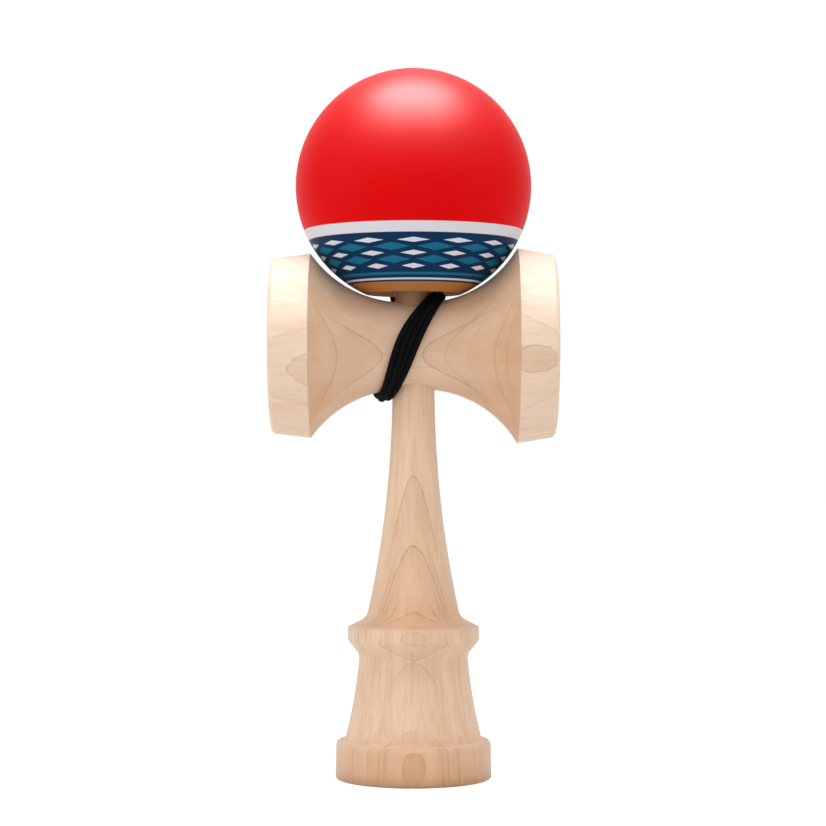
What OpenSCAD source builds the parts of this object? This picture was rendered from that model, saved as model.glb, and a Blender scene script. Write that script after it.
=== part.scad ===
// Kendama: a turned wooden cup-and-ball toy.
// The ken (handle and spike) is pushed through the sarado (the double cup), the tama (the ball) stands
// over the spike, and one string ties them together. The slack of the string is wound round the waist
// of the sarado, and its end runs up behind the ball to a bead inside it.
// Sizes are in millimetres. +Z is up along the ken, +X points to the big cup, the foot stands on z = 0.

/* [Ken foot] */
// Diameter of the base band
base_d = 39.5; // [38:0.1:42]
// Diameter of the base band at its upper edge
base_top_d = 39.3; // [38:0.1:41]
// Height of the base band
base_h = 9.7; // [8.5:0.1:12]
// Rounding of the foot's outer edge
foot_edge_r = 0.7; // [0.3:0.1:1]
// Rounding of the band's upper edge
base_edge_r = 1.3; // [0.8:0.1:1.3]
// Cove between the base band and the body
base_cove_r = 1.2; // [0.6:0.1:1.2]
// Diameter of the base cup's mouth
base_cup_d = 33.4; // [30:0.1:35]
// Depth of the base cup
base_cup_depth = 8; // [6:0.1:10]

/* [Ken body and collar] */
// Diameter of the body above the base band
body_foot_d = 34.2; // [31:0.1:36]
// Height of the body up to its neck
body_h = 19.5; // [16:0.5:26]
// Radius of the hollow sweep of the body
body_sweep_r = 126; // [80:1:300]
// Diameter of the neck under the collar
neck_d = 27.6; // [25:0.1:29]
// Height of the cove above the neck
collar_cove_h = 1.7; // [1.2:0.1:3]
// Diameter at the top of that cove
collar_cove_d = 28.9; // [28:0.1:30]
// Radius of that cove
collar_cove_r = 3.2; // [2:0.1:6]
// Height of the collar's sloping underside
collar_under_h = 3; // [2:0.1:4]
// Diameter of the collar
collar_d = 33.4; // [31:0.1:36]
// Height of the collar band
collar_h = 3.35; // [2:0.05:5]
// Rounding of the collar's edges
collar_edge_r = 0.4; // [0.2:0.1:0.8]

/* [Ken handle] */
// Height of the sloping shoulder above the collar
shoulder_h = 1.25; // [0.8:0.05:2.5]
// Diameter at the top of the shoulder
shoulder_d = 27.7; // [25:0.1:29]
// Height of the cove between the shoulder and the handle
handle_cove_h = 2.4; // [1.6:0.1:4]
// Radius of that cove
handle_cove_r = 3.65; // [3:0.05:8]
// Diameter of the handle's foot
handle_foot_d = 23.2; // [21:0.1:25]
// Length of the handle from its foot to the slim end
handle_l = 52.9; // [45:0.1:60]
// Radius of the hollow sweep of the handle
handle_sweep_r = 265; // [150:1:400]
// Diameter of the slim end
grip_d = 10.8; // [10:0.1:12]
// Diameter of the spike where it leaves the sarado
spike_d = 9.5; // [9:0.1:10]
// Diameter of the spike below its rounded tip
spike_tip_d = 6.6; // [5:0.1:8]
// Rounding of the spike's tip
spike_tip_r = 2.2; // [1:0.1:2.4]
// Height of the spike's tip above the axis of the cups
spike_rise = 47.4; // [44:0.1:47.8]

/* [Sarado] */
// Height of the axis of the cups above the slim end of the handle
sarado_rise = 14.6; // [13.5:0.1:18]
// Width over the two rims
sarado_w = 72; // [70:0.1:78]
// Diameter of the waist
waist_d = 22.2; // [21.6:0.1:23]
// Width of the waist's shallow hollow
waist_w = 12; // [11.6:0.1:13]
// Diameter at the ends of that hollow
waist_end_d = 22.64; // [22.5:0.01:24]
// Diameter of the big cup's ridge
big_ridge_d = 49.6; // [48:0.1:54]
// Distance of that ridge from the middle
big_ridge_x = 26.4; // [25:0.1:28]
// Radius of the sweep from the waist to that ridge
big_sweep_r = 28; // [26:0.1:40]
// Diameter of the big cup's band at its rim
big_rim_d = 46.8; // [46:0.1:50]
// Rounding of the big cup's rim
big_edge_r = 1.5; // [0.8:0.1:1.7]
// Diameter of the big cup's mouth
big_cup_d = 43; // [40:0.1:43.4]
// Depth of the big cup
big_cup_depth = 11.5; // [9:0.1:13]
// Diameter of the small cup's ridge
small_ridge_d = 46.8; // [45:0.1:50]
// Distance of that ridge from the middle
small_ridge_x = 26.1; // [25:0.1:28]
// Radius of the sweep from the waist to that ridge
small_sweep_r = 29; // [26:0.1:40]
// Diameter of the small cup's band at its rim
small_rim_d = 44.8; // [43.5:0.1:48]
// Rounding of the small cup's rim
small_edge_r = 1.3; // [0.8:0.1:1.7]
// Diameter of the small cup's mouth
small_cup_d = 40; // [36:0.1:40.5]
// Depth of the small cup
small_cup_depth = 10; // [8:0.1:12]

/* [Tama] */
// Diameter of the ball
tama_d = 60; // [58:0.1:64]
// Diameter of the mouth of its hole
mouth_d = 24.4; // [23.6:0.1:26]
// Bevel of the mouth
mouth_bevel = 1.45; // [1:0.05:1.45]
// Depth of the straight hole from the mouth to the drill's shoulder
bore_depth = 40.3; // [39.5:0.1:42]
// Angle of the drill's point
drill_angle = 118; // [110:1:130]
// Diameter of the string's hole through the top
top_hole_d = 3; // [2.4:0.1:3.4]
// Diameter of the countersink round that hole
top_sink_d = 11; // [10:0.1:12]

/* [Bead and string] */
// Diameter of the bead inside the ball
bead_d = 8; // [7:0.1:9]
// Diameter of the hole in the bead
bead_hole_d = 2.2; // [1.8:0.1:2.6]
// Diameter of the string
cord_d = 1.4; // [1.2:0.05:1.45]
// Diameter of a knot
knot_d = 4; // [3.6:0.1:4.2]
// Thickness of a knot
knot_h = 2.2; // [2:0.1:2.4]
// Bend of the string where it comes out of the sarado
exit_bend_r = 2.8; // [2.6:0.1:3]
// Diameter of the string's hole in the sarado
string_hole_d = 2.2; // [1.9:0.1:2.6]
// Diameter of the pocket for the knot inside the sarado
knot_pocket_d = 4.6; // [4.4:0.1:5]

/* [Fits] */
// Clearance of the ken in the sarado
seat_clearance = 0.05; // [0.02:0.01:0.1]
// Gap between the ball's mouth and the sarado that it stands on
tama_gap = 0.3; // [0.2:0.05:0.5]
// Gap between the string and the wood that it is wound on
wrap_clearance = 0.25; // [0.2:0.01:0.35]
// Gap between neighbouring turns of the string
strand_gap = 0.49; // [0.47:0.01:0.55]
// Gap round the bead and the knots
bead_gap = 0.1; // [0.05:0.01:0.2]

/* [Hidden] */
$fn = 128;
pale_wood = [0.87, 0.75, 0.62];
red_paint = [0.85, 0.05, 0.06];
black_thread = [0.06, 0.06, 0.07];
bead_white = [0.9, 0.88, 0.84];
over = 1; // how far a cut runs past a face

// Heights along the ken, from the foot to the tip
body_z = base_h + base_cove_r;
neck_z = body_z + body_h;
collar_cove_z = neck_z + collar_cove_h;
collar_z = collar_cove_z + collar_under_h;
collar_top_z = collar_z + collar_h;
shoulder_z = collar_top_z + shoulder_h;
handle_z = shoulder_z + handle_cove_h;
grip_z = handle_z + handle_l;
sarado_z = grip_z + sarado_rise;
spike_z = sarado_z + waist_d / 2;
tip_z = sarado_z + spike_rise;
core_r = spike_tip_d / 2 - spike_tip_r; // flat end of the spike, also the heart of every strip

// Radius of the waist's shallow hollow
waist_dip = (waist_end_d - waist_d) / 2;
waist_r = (waist_w * waist_w / 4 + waist_dip * waist_dip) / (2 * waist_dip);

// The ball on the sarado: its mouth rests where the sweep of the big cup is as wide as the mouth
mouth_z = sarado_z + sweep_r(mouth_d / 2) + tama_gap;
tama_z = mouth_z + sqrt(pow(tama_d / 2, 2) - pow(mouth_d / 2, 2));
mouth_cut = mouth_z - tama_z + tama_d / 2 + over; // the bevel runs on below the ball
bore_d = mouth_d - 2 * mouth_bevel;
drill_z = mouth_z + bore_depth;
drill_tip_z = drill_z + bore_d / 2 / tan(drill_angle / 2);

// The bead hangs under the drill's point, and its knot under the bead
bead_z = drill_tip_z - (bead_d / 2 + bead_gap) / sin(drill_angle / 2);
bead_knot_z = bead_z - bead_d / 2 - bead_gap - knot_h;

// The string's hole leaves the back of the waist; its bend ends on the winding at exit_angle
strand_r = waist_d / 2 + wrap_clearance + cord_d / 2;
exit_angle = asin(exit_bend_r / (strand_r - exit_bend_r));
exit_y = (strand_r - exit_bend_r) * cos(exit_angle);
knot_face_y = exit_y - cord_d;

// The string's way from the winding up behind the ball and into its top
lead_points = [
    [-5.8, 13, 104], [-4.7, 14.3, 106.4], [-3.8, 15.8, 109.6], [-3.6, 17.5, 113.2], [-4.1, 19.4, 117.2],
    [-5.2, 21.6, 122.2], [-6.5, 24.3, 128.2], [-7.6, 26.9, 134.4], [-8.3, 28.8, 141.5],
    [-8.6, 29.9, 149], [-8.4, 29.2, 157.2], [-7.8, 26.8, 164], [-6.7, 22.9, 170.2], [-5.2, 17.9, 175.1],
    [-3.6, 12.2, 178.6], [-2, 6.6, 180.8], [-0.9, 3.2, 180.4], [-0.2, 1, 179.1], [0, 0, 177.6], [0, 0, 176]
];
lead_sides = 8;

// The winding: where it crosses the four sides of the waist, and how it leans at the front
wrap_front_x = -1.7;
wrap_top_x = 7.2;
wrap_back_x = -3.9;
wrap_bottom_x = -8;
wrap_lean = 4.6; // sideways run at the front, per radian
wrap_skew = -0.7;
wrap_end_turn = 3.89;
reverse_turn = 2.6; // the turns run to the left up to here, then back on a second layer
reverse_place = -1.1;
climb_start_turn = 2.4;
climb_end_turn = 2.8;
loop_rings = 24;
wrap_sides = 6;
strand_pitch = cord_d + strand_gap;

// Outlines of turned pieces: strips from the axis out to a line, a hollow arc or a round arc

// Centre of the arc of radius r from a up to b that bows in towards the axis
function hollow_centre(a, b, r) =
    let (run = b - a, half = norm(run) / 2)
    (a + b) / 2 + [run.y, -run.x] / (2 * half) * sqrt(max(0, r * r - half * half));

// A circle of long radius needs more steps
function circle_steps(r) = max(128, 64 * ceil(sqrt(r)));

module strip(a, b) {
    polygon([[0, a.y], a, b, [0, b.y]]);
}

module hollow_strip(a, b, r) {
    difference() {
        strip(a, b);
        translate(hollow_centre(a, b, r)) circle(r, $fn = circle_steps(r));
    }
}

module round_strip(a, b, r) {
    strip(a, b);
    intersection() {
        translate(hollow_centre(b, a, r)) circle(r);
        polygon([a, [max(a.x, b.x), a.y], [max(a.x, b.x), b.y], b]);
    }
}

// The ball of air that leaves a cup of mouth d and the given depth, opening along +Z at z = 0
module cup_space(d, depth) {
    r = (d * d / 4 + depth * depth) / (2 * depth);
    translate([0, 0, r - depth]) sphere(r);
}

module ken_outline() {
    base_top = [base_top_d / 2, base_h - base_edge_r];
    ledge = [base_top_d / 2 - base_edge_r, base_h];
    collar_low = [collar_d / 2, collar_z];
    collar_high = [collar_d / 2, collar_top_z - collar_edge_r];
    spike_end = [spike_tip_d / 2, tip_z - spike_tip_r];

    square([core_r, tip_z]);
    round_strip([base_d / 2 - foot_edge_r, 0], [base_d / 2, foot_edge_r], foot_edge_r);
    strip([base_d / 2, foot_edge_r], base_top);
    round_strip(base_top, ledge, base_edge_r);
    hollow_strip([body_foot_d / 2 + base_cove_r, base_h], [body_foot_d / 2, body_z], base_cove_r);
    hollow_strip([body_foot_d / 2, body_z], [neck_d / 2, neck_z], body_sweep_r);
    hollow_strip([neck_d / 2, neck_z], [collar_cove_d / 2, collar_cove_z], collar_cove_r);
    strip([collar_cove_d / 2, collar_cove_z], [collar_d / 2 - collar_edge_r / 2, collar_z - collar_edge_r]);
    strip([collar_d / 2 - collar_edge_r / 2, collar_z - collar_edge_r], collar_low);
    strip(collar_low, collar_high);
    round_strip(collar_high, [collar_d / 2 - collar_edge_r, collar_top_z], collar_edge_r);
    strip([collar_d / 2 - collar_edge_r, collar_top_z], [shoulder_d / 2, shoulder_z]);
    hollow_strip([shoulder_d / 2, shoulder_z], [handle_foot_d / 2, handle_z], handle_cove_r);
    hollow_strip([handle_foot_d / 2, handle_z], [grip_d / 2, grip_z], handle_sweep_r);
    strip([grip_d / 2, grip_z], [spike_d / 2, spike_z]);
    strip([spike_d / 2, spike_z], spike_end);
    round_strip(spike_end, [core_r, tip_z], spike_tip_r);
}

module ken() color(pale_wood)
    difference() {
        rotate_extrude() ken_outline();
        rotate([180, 0, 0]) cup_space(base_cup_d, base_cup_depth);
    }

// Outline of the sarado, turned about its own axis, from the small cup's rim to the big cup's
module sarado_outline() {
    small_band_end = [small_rim_d / 2, small_edge_r - sarado_w / 2];
    small_ridge = [small_ridge_d / 2, -small_ridge_x];
    small_waist_end = [waist_end_d / 2, -waist_w / 2];
    big_waist_end = [waist_end_d / 2, waist_w / 2];
    big_ridge = [big_ridge_d / 2, big_ridge_x];
    big_band_end = [big_rim_d / 2, sarado_w / 2 - big_edge_r];

    translate([0, -sarado_w / 2]) square([waist_d / 4, sarado_w]);
    round_strip([small_rim_d / 2 - small_edge_r, -sarado_w / 2], small_band_end, small_edge_r);
    strip(small_band_end, small_ridge);
    hollow_strip(small_ridge, small_waist_end, small_sweep_r);
    hollow_strip(small_waist_end, big_waist_end, waist_r);
    hollow_strip(big_waist_end, big_ridge, big_sweep_r);
    strip(big_ridge, big_band_end);
    round_strip(big_band_end, [big_rim_d / 2 - big_edge_r, sarado_w / 2], big_edge_r);
}

// The tapered hole for the ken, as wide as the ken and its clearance
module ken_seat() {
    slope = (grip_d - spike_d) / 2 / (spike_z - grip_z);
    wide = grip_d / 2 + seat_clearance;
    h = spike_z - grip_z + over;

    translate([0, 0, grip_z]) cylinder(r1 = wide, r2 = wide - slope * h, h = h);
}

// The string's hole at the back of the waist: a pocket for the knot, the hole and its flared mouth
module string_hole() {
    flare = waist_d / 2 + over - exit_y;

    translate([0, 0, sarado_z]) rotate([-90, 0, 0]) {
        cylinder(d = knot_pocket_d, h = knot_face_y + bead_gap);
        cylinder(d = string_hole_d, h = exit_y);
        translate([0, 0, exit_y]) cylinder(d1 = string_hole_d, d2 = string_hole_d + 2 * flare, h = flare);
    }
}

module sarado() color(pale_wood)
    difference() {
        translate([0, 0, sarado_z]) rotate([0, 90, 0]) difference() {
            rotate_extrude() sarado_outline();
            translate([0, 0, sarado_w / 2]) cup_space(big_cup_d, big_cup_depth);
            translate([0, 0, -sarado_w / 2]) rotate([180, 0, 0]) cup_space(small_cup_d, small_cup_depth);
        }
        ken_seat();
        string_hole();
    }

module tama() color(red_paint)
    difference() {
        translate([0, 0, tama_z]) sphere(d = tama_d);
        translate([0, 0, mouth_z - mouth_cut])
            cylinder(d1 = mouth_d + 2 * mouth_cut, d2 = bore_d, h = mouth_cut + mouth_bevel);
        translate([0, 0, mouth_z]) cylinder(d = bore_d, h = bore_depth);
        translate([0, 0, drill_z]) cylinder(d1 = bore_d, d2 = 0, h = drill_tip_z - drill_z);
        translate([0, 0, drill_z]) cylinder(d = top_hole_d, h = tama_d);
        translate([0, 0, tama_z + tama_d / 2 - top_sink_d / 2])
            cylinder(d1 = 0, d2 = 2 * (top_sink_d / 2 + over), h = top_sink_d / 2 + over);
    }

module bead() color(bead_white)
    translate([0, 0, bead_z]) difference() {
        sphere(d = bead_d);
        cylinder(d = bead_hole_d, h = bead_d + over, center = true);
    }

// A pulled-tight knot: a flat round lump, standing on z = 0
module knot() {
    rotate_extrude() translate([0, knot_h / 2]) {
        translate([0, -knot_h / 2]) square([knot_d / 2 - knot_h / 2, knot_h]);
        intersection() {
            translate([knot_d / 2 - knot_h / 2, 0]) circle(d = knot_h);
            translate([0, -knot_h / 2]) square([knot_d / 2, knot_h]);
        }
    }
}

module tail_knot() color(black_thread)
    translate([0, knot_face_y - knot_h, sarado_z]) rotate([-90, 0, 0]) knot();

module bead_knot() color(black_thread)
    translate([0, 0, bead_knot_z]) knot();

// Radius of the sarado at a place along its axis
function sweep_r(x) =
    let (big = x >= 0, reach = abs(x), waist = reach <= waist_w / 2,
         ridge = big ? [big_ridge_d / 2, big_ridge_x] : [small_ridge_d / 2, small_ridge_x],
         r = waist ? waist_r : big ? big_sweep_r : small_sweep_r,
         c = waist ? [waist_d / 2 + r, 0] : hollow_centre([waist_end_d / 2, waist_w / 2], ridge, r))
    c.x - sqrt(r * r - pow(reach - c.y, 2));

// Sideways course of the winding: angle 0 is the front of the waist, 90 the top and 180 the back
function course_x(angle) =
    let (rise = (wrap_top_x - wrap_bottom_x) / 2, third = (rise + 2 * wrap_skew - wrap_lean) / 4)
    (wrap_front_x + wrap_top_x + wrap_back_x + wrap_bottom_x) / 4
    + (wrap_front_x - wrap_back_x) / 2 * cos(angle)
    + (wrap_front_x + wrap_back_x - wrap_top_x - wrap_bottom_x) / 4 * cos(2 * angle)
    + (rise - third) * sin(angle) + wrap_skew * sin(2 * angle) - third * sin(3 * angle);

function eased(share) = let (s = min(1, max(0, share))) s * s * (3 - 2 * s);

// A point of the winding after so many turns, counted from the string's hole
function wrap_point(turns) =
    let (angle = 180 - 360 * turns, step = 1,
         slope = (course_x(angle + step) - course_x(angle - step)) / (2 * step) * 180 / PI,
         place = abs(turns - reverse_turn) + reverse_place,
         x = course_x(angle) + place * strand_pitch * sqrt(1 + pow(slope / strand_r, 2)),
         layer = eased((turns - climb_start_turn) / (climb_end_turn - climb_start_turn)),
         r = sweep_r(x) + wrap_clearance + cord_d / 2 + layer * strand_pitch)
    [x, -r * cos(angle), sarado_z + r * sin(angle)];

// The string's bend out of its hole and up on to the waist
function exit_point(share) =
    let (turned = share * (90 + exit_angle), x = wrap_point(exit_angle / 360).x)
    [x * share * share, exit_y + exit_bend_r * sin(turned), sarado_z + exit_bend_r * (1 - cos(turned))];

function unit(v) = v / norm(v);

lead_way = unit(lead_points[1] - lead_points[0]);
wrap_path = concat(
    [[0, knot_face_y, sarado_z]],
    [for (share = [0 : 0.2 : 0.8]) exit_point(share)],
    [for (turns = [exit_angle / 360 : 1 / loop_rings : wrap_end_turn]) wrap_point(turns)],
    [lead_points[0] - cord_d * lead_way, lead_points[0]]
);

// A round tube along a path of points, its rings set square to the path
module tube(path, d, sides) {
    last = len(path) - 1;
    rings = [for (i = [0 : last])
        let (way = unit(path[min(i + 1, last)] - path[max(i - 1, 0)]),
             side = unit(cross(way, [1, 0, 0])), up = cross(way, side))
        [for (k = [0 : sides - 1])
            path[i] + d / 2 * (cos(360 * k / sides) * side + sin(360 * k / sides) * up)]];
    walls = [for (i = [0 : last - 1], k = [0 : sides - 1])
        let (a = i * sides + k, b = i * sides + (k + 1) % sides)
        each [[a, a + sides, b], [b, a + sides, b + sides]]];
    ends = [for (k = [1 : sides - 2])
        each [[0, k, k + 1], [last * sides, last * sides + k + 1, last * sides + k]]];
    polyhedron([for (ring = rings) each ring], concat(walls, ends), convexity = 10);
}

// Distance of a point from the straight stretch between two others
function off_stretch(p, a, b) =
    let (run = b - a, share = min(1, max(0, (p - a) * run / (run * run)))) norm(p - a - share * run);

wrap_gap = min([for (i = [0 : len(wrap_path) - 1], j = [i + 5 : 1 : len(wrap_path) - 2])
    off_stretch(wrap_path[i], wrap_path[j], wrap_path[j + 1])]) - cord_d;

module string_wrap() color(black_thread) {
    echo(least_gap_in_winding = wrap_gap);
    tube(wrap_path, cord_d, wrap_sides);
}

module string_lead() color(black_thread)
    tube(lead_points, cord_d, lead_sides);

// The straight stretch of string inside the ball, from the lead down through the bead to its knot
module string_core() color(black_thread)
    translate([0, 0, bead_knot_z + knot_h])
        cylinder(d = cord_d, h = lead_points[len(lead_points) - 1].z - bead_knot_z - knot_h);

ken();
sarado();
tama();
bead();
tail_knot();
string_wrap();
string_lead();
string_core();
bead_knot();
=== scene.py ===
import math

import bpy
from mathutils import Matrix, Vector


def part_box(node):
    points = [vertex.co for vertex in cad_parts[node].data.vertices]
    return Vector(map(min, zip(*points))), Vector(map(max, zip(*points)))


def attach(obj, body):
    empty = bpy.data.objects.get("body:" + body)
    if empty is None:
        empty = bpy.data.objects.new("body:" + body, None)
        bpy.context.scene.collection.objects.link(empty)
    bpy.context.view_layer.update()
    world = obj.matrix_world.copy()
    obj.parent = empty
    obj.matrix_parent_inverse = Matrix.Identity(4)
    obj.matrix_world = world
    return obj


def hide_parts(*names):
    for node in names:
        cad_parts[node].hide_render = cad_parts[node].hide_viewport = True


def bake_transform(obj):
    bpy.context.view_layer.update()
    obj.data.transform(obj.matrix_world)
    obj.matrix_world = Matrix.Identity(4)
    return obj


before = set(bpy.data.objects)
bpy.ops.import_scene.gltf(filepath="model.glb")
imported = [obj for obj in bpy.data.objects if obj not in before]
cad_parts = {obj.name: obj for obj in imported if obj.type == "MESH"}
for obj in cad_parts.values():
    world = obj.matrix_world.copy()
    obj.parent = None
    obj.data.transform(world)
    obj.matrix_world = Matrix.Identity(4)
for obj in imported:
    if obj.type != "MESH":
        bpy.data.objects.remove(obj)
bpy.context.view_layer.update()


# Ken: the handle, collar, foot and spike, turned in one piece from a blank of pale maple.
# The grain runs up the handle, so the flat growth layers come out as arches on its taper.
# It is sanded fine and left bare. The brown at the bottom edge of the foot and on the spike is painted shade.
def srgb(red, green, blue):
    linear = [(c / 12.92 if c <= 0.04045 else ((c + 0.055) / 1.055) ** 2.4)
              for c in (red / 255, green / 255, blue / 255)]
    return (*linear, 1.0)


def add(tree, kind, inputs=None, **settings):
    """A node with its settings, each input linked to a socket or set to a value."""
    node = tree.nodes.new(kind)
    for name, value in settings.items():
        setattr(node, name, value)
    for name, value in (inputs or {}).items():
        if isinstance(value, bpy.types.NodeSocket):
            tree.links.new(value, node.inputs[name])
        else:
            node.inputs[name].default_value = value
    return node


def calc(tree, operation, *values):
    return add(tree, "ShaderNodeMath", dict(enumerate(values)), operation=operation).outputs[0]


def ramp(tree, value, start, end, low=0.0, high=1.0, smooth=False):
    """A value that runs from low to high while the given one runs from start to end."""
    kind = "SMOOTHSTEP" if smooth else "LINEAR"
    inputs = {"Value": value, "From Min": start, "From Max": end, "To Min": low, "To Max": high}
    return add(tree, "ShaderNodeMapRange", inputs, interpolation_type=kind).outputs["Result"]


def graded(tree, value, stops):
    """A value that changes from stop to stop; a stop is a place and the value there."""
    total = stops[0][1]
    for (start, low), (end, high) in zip(stops, stops[1:]):
        total = calc(tree, "ADD", ramp(tree, value, start, end, 0.0, high - low), total)
    return total


def over(tree, share, under, colour):
    """A colour laid over another with the given share."""
    return add(tree, "ShaderNodeMix", {0: share, 6: under, 7: colour}, data_type="RGBA").outputs[2]


def new_material(name):
    """A material, its tree and shader, and the place on the piece in millimetres."""
    material = bpy.data.materials.new(name)
    material.use_nodes = True
    tree = material.node_tree
    shader = tree.nodes["Principled BSDF"]
    place = add(tree, "ShaderNodeTexCoord").outputs["Object"]
    millimetres = add(tree, "ShaderNodeVectorMath", {0: place, "Scale": 1000.0}, operation="SCALE")
    return material, tree, shader, millimetres.outputs[0]


def streaks(tree, place, grain, across, along, detail=3.0):
    """Noise drawn out along the grain; across and along are features per millimetre."""
    stretch = [across, across, across]
    stretch["XYZ".index(grain)] = along
    drawn = add(tree, "ShaderNodeVectorMath", {0: place, 1: stretch}, operation="MULTIPLY").outputs[0]
    inputs = {"Vector": drawn, "Scale": 1.0, "Detail": detail, "Roughness": 0.55}
    return add(tree, "ShaderNodeTexNoise", inputs).outputs["Fac"]


def maple(name, grain, middle_z, layers, inner_layer, layer_gap, pale, tan, brown, tone_and_shade_stops,
          pale_ends, stripes, sheen):
    """Bare maple whose growth layers come out as thin brown lines, with a darker shade behind each.
    A layer has its place along the grain, its depth towards the front there, its lean and bow, its tilt in
    degrees, the strength of its line and of its shade, and how far it reaches to either side. Deeper layers
    follow at an even gap. The tone is 0 where the wood is pale, 1 where it is tan and 2 where it is brown.
    The tone is partly the wood's own and partly painted shade, and the brown is painted shade. The faces at
    the ends of the grain can be kept pale, so that the painted shade stays off them."""
    line_rise, line_fade, shade_depth = 0.16, 0.5, 2.4
    line_share, line_brown = 0.46, srgb(134, 90, 62)
    shade_share, shade_brown = 0.3, srgb(196, 148, 110)
    fibre_brown, fleck_brown = srgb(206, 164, 130), srgb(184, 143, 110)
    material, tree, shader, place = new_material(name)
    axes = add(tree, "ShaderNodeSeparateXYZ", {0: place}).outputs
    facing = add(tree, "ShaderNodeTexCoord").outputs["Normal"]
    wander = streaks(tree, place, grain, 0.12, 0.05, 2.0)
    waver = streaks(tree, place, grain, 0.9, 0.3, 2.0)
    uneven = calc(tree, "ADD", ramp(tree, wander, 0.3, 0.7, -0.06, 0.06),
                  ramp(tree, waver, 0.3, 0.7, -0.025, 0.025))
    front = calc(tree, "SUBTRACT", uneven, axes["Y"])
    low = calc(tree, "SUBTRACT", middle_z, axes["Z"])

    lines = 0.0
    shades = 0.0
    for at, layer_depth, lean, bow, tilt, line_strength, shade_strength, reach in layers:
        forward = math.cos(math.radians(tilt))
        downward = math.sin(math.radians(tilt))
        depth = calc(tree, "MULTIPLY_ADD", low, downward, calc(tree, "MULTIPLY", front, forward))
        off = calc(tree, "SUBTRACT", axes[grain], at)
        layer = calc(tree, "MULTIPLY_ADD", off, calc(tree, "MULTIPLY_ADD", off, bow, lean), layer_depth)
        across = {"Y": -forward, "Z": -downward}
        across[grain] = calc(tree, "MULTIPLY_ADD", off, -2 * bow, -lean)
        across = add(tree, "ShaderNodeCombineXYZ", across).outputs[0]
        across = add(tree, "ShaderNodeVectorMath", {0: across}, operation="NORMALIZE").outputs[0]
        flat = add(tree, "ShaderNodeVectorMath", {0: facing, 1: across}, operation="DOT_PRODUCT")
        flat = flat.outputs["Value"]
        steep = calc(tree, "SQRT", calc(tree, "SUBTRACT", 1.0015, calc(tree, "MULTIPLY", flat, flat)))
        above = calc(tree, "SUBTRACT", depth, layer)
        past = calc(tree, "DIVIDE", above, steep)
        near = ramp(tree, calc(tree, "ABSOLUTE", off), 0.6 * reach, reach, 1.0, 0.0)
        plain = calc(tree, "MULTIPLY", ramp(tree, flat, 0.2, 0.8, 0.6, 1.0), near)
        line = calc(tree, "MULTIPLY", ramp(tree, past, -line_rise, 0.0),
                    ramp(tree, past, 0.0, line_fade, line_strength, 0.0))
        lines = calc(tree, "MAXIMUM", calc(tree, "MULTIPLY", line, plain), lines)
        fading = ramp(tree, above, 0.0, shade_depth, shade_strength, 0.0, smooth=True)
        shade = calc(tree, "MULTIPLY", ramp(tree, past, -0.1, 0.2), fading)
        shades = calc(tree, "MAXIMUM", calc(tree, "MULTIPLY", shade, plain), shades)

    turn = calc(tree, "FRACT", calc(tree, "DIVIDE", calc(tree, "SUBTRACT", front, inner_layer), layer_gap))
    inside = calc(tree, "LESS_THAN", front, inner_layer)
    shades = calc(tree, "MULTIPLY_ADD", ramp(tree, turn, 0.0, 0.5, 0.5, 0.0), inside, shades)
    lines = calc(tree, "MULTIPLY_ADD", ramp(tree, turn, 0.0, 0.12, 0.35, 0.0), inside, lines)
    broken = streaks(tree, place, grain, 1.1, 0.5, 2.0)
    lines = calc(tree, "MULTIPLY", lines, ramp(tree, broken, 0.35, 0.65, 0.4, 1.0))

    broad = streaks(tree, place, grain, 0.16, 0.012)
    stripe = streaks(tree, place, grain, 0.8, 0.01, 2.0)
    fibre = streaks(tree, place, grain, 2.4, 0.06, 4.0)
    fleck = streaks(tree, place, grain, 3.0, 0.5, 2.0)
    # Tone along the grain: partly the wood's own, partly painted shade. Past 1 it lays on the brown, which is
    # painted shade.
    tone = graded(tree, axes[grain], tone_and_shade_stops)
    # Faces at the ends of the grain can be kept clear of the painted shade.
    if pale_ends:
        towards_end = add(tree, "ShaderNodeSeparateXYZ", {0: facing}).outputs[grain]
        towards_end = calc(tree, "MULTIPLY", towards_end, calc(tree, "SIGN", axes[grain]))
        tone = calc(tree, "MULTIPLY", tone, ramp(tree, towards_end, 0.05, 0.25, 1.0, 0.0))
    tone = calc(tree, "ADD", tone, ramp(tree, broad, 0.3, 0.7, -0.2, 0.2))
    wood = over(tree, tone, pale, tan)
    wood = over(tree, calc(tree, "SUBTRACT", tone, 1.0), wood, brown)
    wood = over(tree, ramp(tree, stripe, 0.45, 0.62, 0.0, stripes), wood, fibre_brown)
    wood = over(tree, ramp(tree, fibre, 0.4, 0.75, 0.0, 0.2), wood, fibre_brown)
    wood = over(tree, ramp(tree, fleck, 0.62, 0.78, 0.0, 0.2), wood, fleck_brown)
    wood = over(tree, calc(tree, "MULTIPLY", shades, shade_share), wood, shade_brown)
    wood = over(tree, calc(tree, "MULTIPLY", lines, line_share), wood, line_brown)
    tree.links.new(wood, shader.inputs["Base Color"])
    tree.links.new(ramp(tree, fibre, 0.3, 0.7, 0.62, 0.74), shader.inputs["Roughness"])
    shader.inputs["Specular IOR Level"].default_value = 0.2
    shader.inputs["Sheen Weight"].default_value = sheen
    shader.inputs["Sheen Roughness"].default_value = 0.5
    height = calc(tree, "MULTIPLY_ADD", fleck, 0.6, fibre)
    grain_relief = add(tree, "ShaderNodeBump", {"Height": height, "Strength": 0.1, "Distance": 0.0002})
    tree.links.new(grain_relief.outputs["Normal"], shader.inputs["Normal"])
    return material


def finish_with(piece, material):
    piece.data.materials.clear()
    piece.data.materials.append(material)


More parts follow.
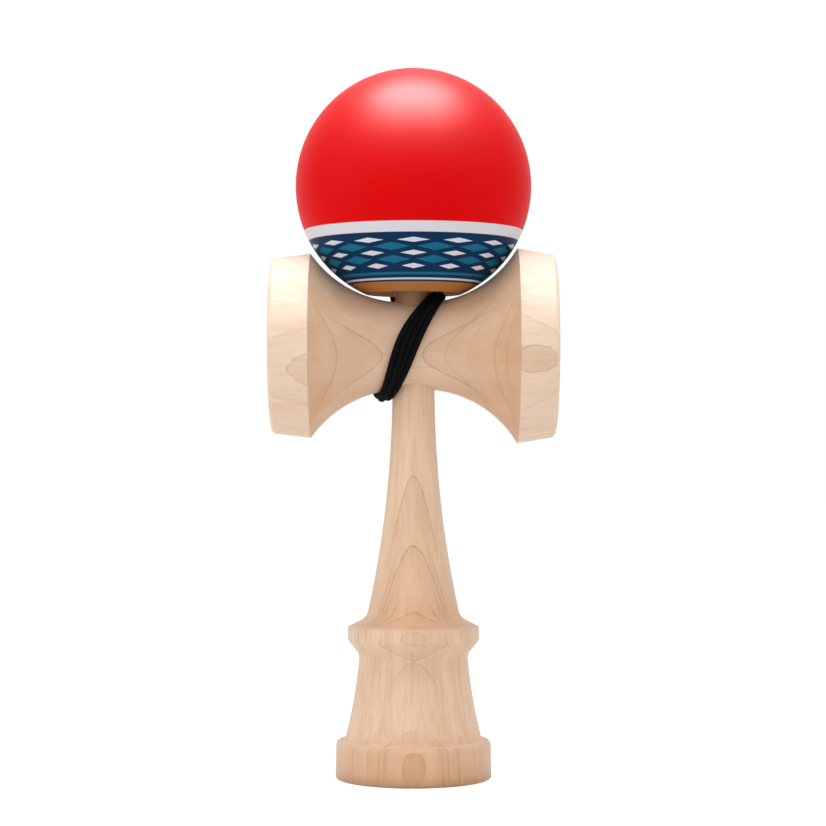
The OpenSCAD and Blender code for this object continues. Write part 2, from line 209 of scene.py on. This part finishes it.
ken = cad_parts["ken"]
ken_layers = (
    (77.3, 6.31, 0, 0, 0, 0.9, 0.7, 24),
    (59.2, 8.42, 0, 0, 0, 1.0, 0.8, 26),
    (42.5, 11.5, 0, 0, 0, 0.9, 0.8, 8),
    (40, 10.3, 0, 0, 0, 1.0, 0.7, 5),
    (40, 9.2, 0, 0, 0, 0.9, 0.7, 9),
    (42, 7.6, 0, 0, 0, 0.8, 0.7, 16),
    (31, 13.9, 0.1, 0, 0, 0.7, 0.6, 8),
    (21, 13.1, -0.11, 0, 0, 0.25, 0.5, 13),
    (21, 10.1, -0.05, 0, 0, 0.5, 0.4, 14),
    (21, 8.6, -0.12, 0, 0, 0.5, 0.4, 14),
    (36.3, 16.38, 0, 0.084, 0, 0.5, 0.8, 3.4),
    (11, 16.4, 0, 0, 0, 0.25, 0.6, 9),
    (5, 12.5, 0, 0, 0, 0.7, 0.5, 9),
    (5, 16, 0, 0, 0, 0.8, 0.5, 9),
    (5, 17.65, 0, 0, 0, 0.9, 0.5, 9),
    (5, 18.25, 0, 0, 0, 0.7, 0.5, 9),
    (5, 19.47, 0, 0.0122, 0, 0.6, 1.5, 7),
)
# Tone along the handle; the brown at the bottom edge of the foot and on the spike under the ball is painted
# shade.
ken_tone_and_shade_stops = ((0, 2.2), (2.5, 1.2), (5, 0.85), (9.6, 0.65), (11.5, 0.3), (30, 0.3), (38, 0.15),
                  (39, 1.15), (42, 0.7), (55, 0.4), (75, 0.2), (90, 0.1), (112, 0.3), (118, 1.3), (121, 2.0))
ken_maple = maple("maple_ken", "Z", 0, ken_layers, inner_layer=4.0, layer_gap=2.2,
                  pale=srgb(237, 205, 177), tan=srgb(215, 172, 134), brown=srgb(178, 134, 98),
                  tone_and_shade_stops=ken_tone_and_shade_stops, pale_ends=False, stripes=0.3, sheen=0.5)
finish_with(ken, ken_maple)


# Sarado: the double cup, turned from one piece of the same maple with its grain along the cups.
# The big cup is on the right. It is pushed down over the spike on to the taper of the ken.
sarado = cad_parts["sarado"]
sarado_low, sarado_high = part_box("sarado")
sarado_z = (sarado_low.z + sarado_high.z) / 2
sarado_layers = (
    (-8, 11.58, -0.02, 0.013, 15.5, 1.0, 0.7, 14),
    (8, 10.5, -0.03, 0.015, 13.5, 1.0, 0.7, 12),
    (7.94, 11.62, -0.1, 0, 13, 0.7, 0.5, 16),
    (13.65, 13.35, -0.1, 0, 13, 0.4, 0.3, 12),
    (19.9, 17.3, -0.11, 0, 13, 0.8, 0.5, 10),
    (22.7, 19.9, -0.05, 0, 13, 0.5, 0.4, 6),
    (-18.3, 16.2, 0, 0, 13, 0.8, 0.5, 10),
    (-30.9, 22.84, 0.04, 0, 17, 0.8, 0.7, 7.5),
    (-31, 21.1, 0, 0, 17, 0.4, 0.3, 7),
    (31, 21.8, 0.05, 0, 13, 0.4, 0.3, 7),
    (30, 23.94, -0.173, 0.0083, 10, 0.9, 1.0, 7.5),
)
# The tan over the flares and the waist between them is painted shade; the bands at the ends stay pale.
sarado_painted_shade_stops = ((-26.2, 0.05), (-25.8, 0.9), (-6, 0.45), (6, 0.55), (14, 0.85), (26.2, 1.1), (26.5, 0.0))
sarado_maple = maple("maple_sarado", "X", sarado_z * 1000, sarado_layers, inner_layer=9.0, layer_gap=2.4,
                     pale=srgb(241, 215, 190), tan=srgb(216, 175, 140), brown=srgb(178, 134, 98),
                     tone_and_shade_stops=sarado_painted_shade_stops, pale_ends=True, stripes=0.14, sheen=0.2)
finish_with(sarado, sarado_maple)


# String: one length of thin black braided string. It is knotted inside the waist of the sarado, comes out
# at the back, has its slack wound round the waist, and runs up behind the ball and down through its top.
cord_d = 0.00155
strand_pitch = 0.0015
wrap_clearance = 0.0002
waist_d, waist_w, waist_end_d = 0.0222, 0.012, 0.02264
waist_dip = (waist_end_d - waist_d) / 2
waist_r = (waist_w ** 2 / 4 + waist_dip ** 2) / (2 * waist_dip)
big_ridge, big_sweep_r = (0.0248, 0.0264), 0.028
small_ridge, small_sweep_r = (0.0234, 0.0261), 0.029
exit_bend_r = 0.0028
strand_r = waist_d / 2 + wrap_clearance + cord_d / 2
exit_angle = math.asin(exit_bend_r / (strand_r - exit_bend_r))
exit_y = (strand_r - exit_bend_r) * math.cos(exit_angle)
knot_face_y = exit_y - cord_d
wrap_front_x, wrap_top_x, wrap_back_x, wrap_bottom_x = -0.0015, 0.0063, -0.0039, -0.0074
wrap_lean, wrap_skew = 0.0046, -0.0007
wrap_turns, middle_turn = 3.89, 2.0
top_pitch, bottom_pitch, bunched_lift = 0.45, 0.5, 0.0009
bead_knot_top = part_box("bead_knot")[1].z
lead_points = [Vector(p) / 1000 for p in (
    (-5.8, 13, 104), (-4.7, 14.3, 106.4), (-3.8, 15.8, 109.6), (-3.6, 17.5, 113.2), (-4.1, 19.4, 117.2),
    (-5.2, 21.6, 122.2), (-6.5, 24.3, 128.2), (-7.6, 26.9, 134.4), (-8.3, 28.8, 141.5), (-8.6, 29.9, 149),
    (-8.4, 29.2, 157.2), (-7.8, 26.8, 164), (-6.7, 22.9, 170.2), (-5.2, 17.9, 175.1), (-3.6, 12.2, 178.6),
    (-2, 6.6, 180.55), (-1.4, 4.9, 180.5), (-0.9, 3.2, 179.9), (-0.2, 1, 179), (0, 0, 177.6), (0, 0, 176))]


def sweep_r(x):
    """Radius of the sarado at a place along its axis."""
    reach = abs(x)
    if reach <= waist_w / 2:
        return waist_d / 2 + waist_r - math.sqrt(waist_r ** 2 - x * x)
    ridge, r = (big_ridge, big_sweep_r) if x >= 0 else (small_ridge, small_sweep_r)
    start = Vector((waist_end_d / 2, waist_w / 2))
    run = Vector(ridge) - start
    half = run.length / 2
    centre = start + run / 2 + Vector((run.y, -run.x)) / (2 * half) * math.sqrt(r * r - half * half)
    return centre.x - math.sqrt(r * r - (reach - centre.y) ** 2)


def course_x(angle):
    """Sideways course of the winding: 0 is the front of the waist, a quarter turn on is its top."""
    rise = (wrap_top_x - wrap_bottom_x) / 2
    third = (rise + 2 * wrap_skew - wrap_lean) / 4
    return ((wrap_front_x + wrap_top_x + wrap_back_x + wrap_bottom_x) / 4
            + (wrap_front_x - wrap_back_x) / 2 * math.cos(angle)
            + (wrap_front_x + wrap_back_x - wrap_top_x - wrap_bottom_x) / 4 * math.cos(2 * angle)
            + (rise - third) * math.sin(angle)
            + wrap_skew * math.sin(2 * angle) - third * math.sin(3 * angle))


def wrap_point(turns):
    """A place on the winding, whose strands lie side by side and bunch up over and under the waist."""
    angle = math.pi - 2 * math.pi * turns
    step = math.radians(1)
    slope = (course_x(angle + step) - course_x(angle - step)) / (2 * step)
    above = max(0.0, math.sin(angle)) ** 2
    below = max(0.0, -math.sin(angle)) ** 2
    pitch = strand_pitch * (1 - (1 - top_pitch) * above - (1 - bottom_pitch) * below)
    x = course_x(angle) + (middle_turn - turns) * pitch * math.sqrt(1 + (slope / strand_r) ** 2)
    r = sweep_r(x) + wrap_clearance + cord_d / 2 + (round(turns) % 2) * (above + below) * bunched_lift
    return Vector((x, -r * math.cos(angle), sarado_z + r * math.sin(angle)))


def exit_point(share):
    """A place on the bend out of the string's hole, which runs from 0 to 1."""
    turned = share * (math.pi / 2 + exit_angle)
    x = wrap_point(exit_angle / (2 * math.pi)).x
    return Vector((x * share * share, exit_y + exit_bend_r * math.sin(turned),
                   sarado_z + exit_bend_r * (1 - math.cos(turned))))


def through(points, steps):
    """A smooth line through the points, with so many steps between each two."""
    line = []
    for i in range(len(points) - 1):
        a, b = points[i], points[i + 1]
        before, after = points[max(i - 1, 0)], points[min(i + 2, len(points) - 1)]
        for k in range(steps):
            t = k / steps
            line.append(0.5 * (2 * a + (b - before) * t + (2 * before - 5 * a + 4 * b - after) * t * t
                               + (3 * a - before - 3 * b + after) * t ** 3))
    return line + [points[-1]]


def evenly(line, gap):
    """The same line with points an even gap apart, and its length."""
    total = sum((b - a).length for a, b in zip(line, line[1:]))
    count = round(total / gap)
    even = [line[0]]
    walked = 0.0
    for a, b in zip(line, line[1:]):
        stretch = (b - a).length
        while stretch > 0 and len(even) * total / count <= walked + stretch and len(even) < count:
            even.append(a.lerp(b, (len(even) * total / count - walked) / stretch))
        walked += stretch
    return even + [line[-1]], total


def braided_tube(name, line, diameter, sides, plait, relief):
    """A tube along a line, its wall raised where the plaits of the braid cross over."""
    ways = [(line[min(i + 1, len(line) - 1)] - line[max(i - 1, 0)]).normalized() for i in range(len(line))]
    side = ways[0].orthogonal().normalized()
    corners = []
    walked = 0.0
    for i, (point, way) in enumerate(zip(line, ways)):
        side = (side - way * side.dot(way)).normalized()
        up = way.cross(side)
        walked += (point - line[i - 1]).length if i else 0
        turn = 2 * math.pi * walked / plait
        for k in range(sides):
            angle = 2 * math.pi * k / sides
            raised = max(math.cos(4 * angle + turn), math.cos(4 * angle - turn))
            r = diameter / 2 * (1 - relief + relief * raised)
            corners.append(point + r * (math.cos(angle) * side + math.sin(angle) * up))
    walls = [(i * sides + k, i * sides + (k + 1) % sides,
              (i + 1) * sides + (k + 1) % sides, (i + 1) * sides + k)
             for i in range(len(line) - 1) for k in range(sides)]
    last = (len(line) - 1) * sides
    ends = [tuple(reversed(range(sides))), tuple(range(last, last + sides))]
    mesh = bpy.data.meshes.new(name)
    mesh.from_pydata(corners, [], walls + ends)
    mesh.shade_smooth()
    piece = bpy.data.objects.new(name, mesh)
    bpy.context.scene.collection.objects.link(piece)
    return piece


thread, tree, shader, place = new_material("black_thread")
yarn = add(tree, "ShaderNodeTexNoise", {"Vector": place, "Scale": 6.0, "Detail": 3.0, "Roughness": 0.6})
yarn = yarn.outputs["Fac"]
black = over(tree, ramp(tree, yarn, 0.35, 0.7), srgb(5, 5, 6), srgb(24, 24, 26))
tree.links.new(black, shader.inputs["Base Color"])
tree.links.new(ramp(tree, yarn, 0.3, 0.7, 0.8, 0.95), shader.inputs["Roughness"])
shader.inputs["Specular IOR Level"].default_value = 0.06
fuzz = add(tree, "ShaderNodeBump", {"Height": yarn, "Strength": 0.5, "Distance": 0.0001})
tree.links.new(fuzz.outputs["Normal"], shader.inputs["Normal"])

exit_steps, turn_steps, lead_steps = 10, 96, 10
core_top_z, core_step, core_steps = 0.176, 0.001, 14
ring_gap = 0.0004
cord_sides, plait_length, plait_relief = 16, 0.0030, 0.07
first_turn = exit_angle / (2 * math.pi)
route = [Vector((0, knot_face_y, sarado_z))]
route += [exit_point(step / exit_steps) for step in range(exit_steps)]
route += [wrap_point(first_turn + step / turn_steps)
          for step in range(int((wrap_turns - first_turn) * turn_steps) + 1)]
route += through([route[-1]] + lead_points, lead_steps)[1:]
route += [Vector((0, 0, core_top_z - step * core_step)) for step in range(1, core_steps + 1)]
route += [Vector((0, 0, bead_knot_top))]
string_line, string_length = evenly(route, ring_gap)
string = braided_tube("string", string_line, cord_d, cord_sides, plait_length, plait_relief)
finish_with(string, thread)
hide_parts("string_wrap", "string_lead", "string_core")
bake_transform(string)


def knot_line(size):
    """The loop of an overhand knot pulled tight."""
    steps = 72
    line = []
    for k in range(steps + 1):
        t = 2 * math.pi * k / steps
        line.append(size * Vector((math.sin(t) + 2 * math.sin(2 * t), math.cos(t) - 2 * math.cos(2 * t),
                                   -1.1 * math.sin(3 * t))))
    return line


knot_cord_d, knot_size = 0.0012, 0.00044
tail_low, tail_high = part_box("tail_knot")
tail_middle = Matrix.Translation((tail_low + tail_high) / 2)
tail_knot = braided_tube("knot_in_sarado", knot_line(knot_size), knot_cord_d, cord_sides,
                         plait_length, plait_relief)
tail_knot.data.transform(tail_middle @ Matrix.Rotation(math.pi / 2, 4, "X"))
finish_with(tail_knot, thread)
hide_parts("tail_knot")
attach(tail_knot, "handle")

knot_low, knot_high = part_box("bead_knot")
bead_knot = braided_tube("knot_under_bead", knot_line(knot_size), knot_cord_d, cord_sides,
                         plait_length, plait_relief)
bead_knot.data.transform(Matrix.Translation((knot_low + knot_high) / 2))
finish_with(bead_knot, thread)
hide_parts("bead_knot")
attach(bead_knot, "bead")


# Bead: a small off-white plastic bead threaded on the string inside the ball.
# It is wider than the hole in the ball's top, so the string can't pull out.
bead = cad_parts["bead"]
bead_plastic, tree, shader, place = new_material("bead_plastic")
cloud = add(tree, "ShaderNodeTexNoise", {"Vector": place, "Scale": 0.5, "Detail": 2.0}).outputs["Fac"]
tree.links.new(over(tree, cloud, srgb(236, 231, 220), srgb(222, 214, 200)), shader.inputs["Base Color"])
tree.links.new(ramp(tree, cloud, 0.3, 0.7, 0.24, 0.34), shader.inputs["Roughness"])
finish_with(bead, bead_plastic)


# Tama: the ball, turned from wood, drilled for the spike and sprayed a satin red. Straight painted rings
# and rows of lozenges run round it above the hole. The inside of the hole is left as bare wood.
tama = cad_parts["tama"]
tama_low, tama_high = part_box("tama")
mouth_r = 12.2
tama_r = (tama_high.x - tama_low.x) * 500
tama_z = tama_low.z * 1000 + math.sqrt(tama_r ** 2 - mouth_r ** 2)


def ring(tree, height, top, bottom, edge=0.08):
    """A painted ring between two heights."""
    upper = ramp(tree, height, top + edge, top - edge)
    return calc(tree, "MULTIPLY", upper, ramp(tree, height, bottom - edge, bottom + edge))


def lozenges(tree, turn, height, count, shift, middle, half_height, share):
    """A row of slim lozenges round the ball; share is a lozenge's part of its place in the row."""
    along = calc(tree, "FRACT", calc(tree, "MULTIPLY_ADD", turn, count, shift))
    side = calc(tree, "ABSOLUTE", calc(tree, "SUBTRACT", along, 0.5))
    rise = calc(tree, "ABSOLUTE", calc(tree, "SUBTRACT", height, middle))
    reach = calc(tree, "MULTIPLY_ADD", side, 2 / share, calc(tree, "DIVIDE", rise, half_height))
    return ramp(tree, reach, 1.06, 0.94)


paint, tree, shader, place = new_material("satin_paint")
axes = add(tree, "ShaderNodeSeparateXYZ", {0: place}).outputs
height = calc(tree, "SUBTRACT", axes["Z"], tama_z)
turn = calc(tree, "DIVIDE", calc(tree, "ARCTAN2", axes["X"], axes["Y"]), 2 * math.pi)
from_middle = add(tree, "ShaderNodeVectorMath", {0: place, 1: (0, 0, tama_z)}, operation="DISTANCE")
from_middle = from_middle.outputs["Value"]
mottle = add(tree, "ShaderNodeTexNoise", {"Vector": place, "Scale": 0.12, "Detail": 3.0}).outputs["Fac"]
red, deep_red = srgb(226, 1, 5), srgb(218, 1, 3)
white, navy, teal, ochre = srgb(218, 219, 224), srgb(5, 48, 84), srgb(24, 104, 134), srgb(178, 118, 64)
bore_pale, bore_brown = srgb(214, 176, 136), srgb(176, 130, 88)
white_ring, teal_ring, thin_white_ring = (-11.3, -13.9), (-23.1, -23.7), (-24.4, -24.8)
navy_edge, ochre_edge = (-13.82, -13.98), (-25.15, -25.3)
lozenges_round = 14
# Each row of lozenges has its shift, middle height, half height, share and paint.
lozenge_rows = (
    (0.5, -15.7, 0.6, 0.7, white),
    (0.0, -17.2, 0.95, 0.86, teal),
    (0.5, -18.7, 0.6, 0.62, white),
    (0.0, -20.2, 0.95, 0.86, teal),
    (0.5, -21.7, 0.6, 0.62, white),
)
colour = over(tree, mottle, red, deep_red)
colour = over(tree, ring(tree, height, *white_ring), colour, white)
colour = over(tree, ramp(tree, height, *navy_edge), colour, navy)
for shift, middle, half_height, share, row_paint in lozenge_rows:
    row = lozenges(tree, turn, height, lozenges_round, shift, middle, half_height, share)
    colour = over(tree, row, colour, row_paint)
colour = over(tree, ring(tree, height, *teal_ring), colour, teal)
colour = over(tree, ring(tree, height, *thin_white_ring), colour, white)
colour = over(tree, ramp(tree, height, *ochre_edge), colour, ochre)
bored = ramp(tree, from_middle, tama_r - 0.14, tama_r - 0.2)
bored = calc(tree, "MULTIPLY", bored, ramp(tree, height, 19.0, 18.0))
bore_fibre = streaks(tree, place, "Z", 1.6, 0.08)
colour = over(tree, bored, colour, over(tree, bore_fibre, bore_pale, bore_brown))
tree.links.new(colour, shader.inputs["Base Color"])
tree.links.new(ramp(tree, bored, 0.0, 1.0, 0.46, 0.8), shader.inputs["Roughness"])
shader.inputs["Specular IOR Level"].default_value = 0.06
peel = add(tree, "ShaderNodeTexNoise", {"Vector": place, "Scale": 1.4, "Detail": 2.0}).outputs["Fac"]
peel_relief = add(tree, "ShaderNodeBump", {"Height": peel, "Strength": 0.05, "Distance": 0.0002})
tree.links.new(peel_relief.outputs["Normal"], shader.inputs["Normal"])
finish_with(tama, paint)


# Studio: a seamless white floor and surround, a large softbox overhead and one on each side.
# A second softbox overhead adds nothing but gloss, on the ball and the cups. The camera stands
# level with the handle, square to the front.
floor_half = 3.0
floor_mesh = bpy.data.meshes.new("floor")
floor_mesh.from_pydata([(x, y, 0) for x, y in ((-floor_half, -floor_half), (floor_half, -floor_half),
                                               (floor_half, floor_half), (-floor_half, floor_half))],
                       [], [(0, 1, 2, 3)])
floor = bpy.data.objects.new("floor", floor_mesh)
bpy.context.scene.collection.objects.link(floor)
floor_glow = 0.5
floor_white, tree, shader, _ = new_material("floor_white")
shader.inputs["Base Color"].default_value = (0.85, 0.85, 0.85, 1)
shader.inputs["Roughness"].default_value = 0.9
shader.inputs["Specular IOR Level"].default_value = 0.1
shader.inputs["Emission Color"].default_value = (1, 1, 1, 1)


def straight_rays(tree):
    """1 for rays that come straight from the camera, from a reflection or through glass."""
    rays = add(tree, "ShaderNodeLightPath").outputs
    mirrored = calc(tree, "MAXIMUM", rays["Is Glossy Ray"], rays["Is Transmission Ray"])
    return calc(tree, "MAXIMUM", rays["Is Camera Ray"], mirrored)


tree.links.new(calc(tree, "MULTIPLY", straight_rays(tree), floor_glow), shader.inputs["Emission Strength"])
finish_with(floor, floor_white)

front_fill, back_fill, horizon_fill, top_fill = 0.65, 0.6, 0.27, 0.48
world = bpy.data.worlds.new("white_surround")
bpy.context.scene.world = world
world.use_nodes = True
tree = world.node_tree
background = tree.nodes["Background"]
background.inputs["Color"].default_value = (1, 1, 1, 1)
way = add(tree, "ShaderNodeSeparateXYZ", {0: add(tree, "ShaderNodeTexCoord").outputs["Generated"]}).outputs
fill = calc(tree, "ADD", ramp(tree, way["Y"], -1.0, 0.5, front_fill, 0.0),
            ramp(tree, way["Y"], 0.5, 1.0, 0.0, back_fill))
fill = calc(tree, "ADD", fill, ramp(tree, way["Z"], 0.0, 1.0, horizon_fill, top_fill))
straight = straight_rays(tree)
fill = calc(tree, "MULTIPLY", calc(tree, "SUBTRACT", 1.0, straight), fill)
tree.links.new(calc(tree, "ADD", straight, fill), background.inputs["Strength"])


def softbox(name, place, towards, width, depth, watts):
    """A flat lamp at a place, turned towards another."""
    light = bpy.data.lights.new(name, "AREA")
    light.shape = "RECTANGLE"
    light.size = width
    light.size_y = depth
    light.energy = watts
    lamp = bpy.data.objects.new(name, light)
    lamp.location = place
    lamp.rotation_euler = (Vector(towards) - Vector(place)).to_track_quat("-Z", "Y").to_euler()
    bpy.context.scene.collection.objects.link(lamp)
    return lamp


toy_middle, ball_middle = (0, 0, 0.1), (0, 0, 0.15)
softbox("overhead_softbox", (0, -0.1, 0.75), toy_middle, 0.5, 0.4, 1.9)
softbox("left_softbox", (-0.75, -0.3, 0.3), toy_middle, 0.4, 0.6, 1.3)
softbox("right_softbox", (0.75, -0.3, 0.3), toy_middle, 0.4, 0.6, 0.6)
sheen_softbox = softbox("sheen_softbox", (0, -0.05, 0.78), ball_middle, 0.55, 0.45, 62)
sheen_softbox.visible_diffuse = False
sheen_pieces = bpy.data.collections.new("sheen_pieces")
sheen_pieces.objects.link(tama)
sheen_pieces.objects.link(sarado)
sheen_softbox.light_linking.receiver_collection = sheen_pieces

camera_data = bpy.data.cameras.new("camera")
camera_data.sensor_width = 36
camera_data.lens = 98.8
camera = bpy.data.objects.new("camera", camera_data)
camera.location = (-0.00012, -0.577, 0.084)
camera.rotation_euler = (math.radians(90.847), 0, 0)
bpy.context.scene.collection.objects.link(camera)
bpy.context.scene.camera = camera
bpy.context.scene.view_settings.view_transform = "Standard"
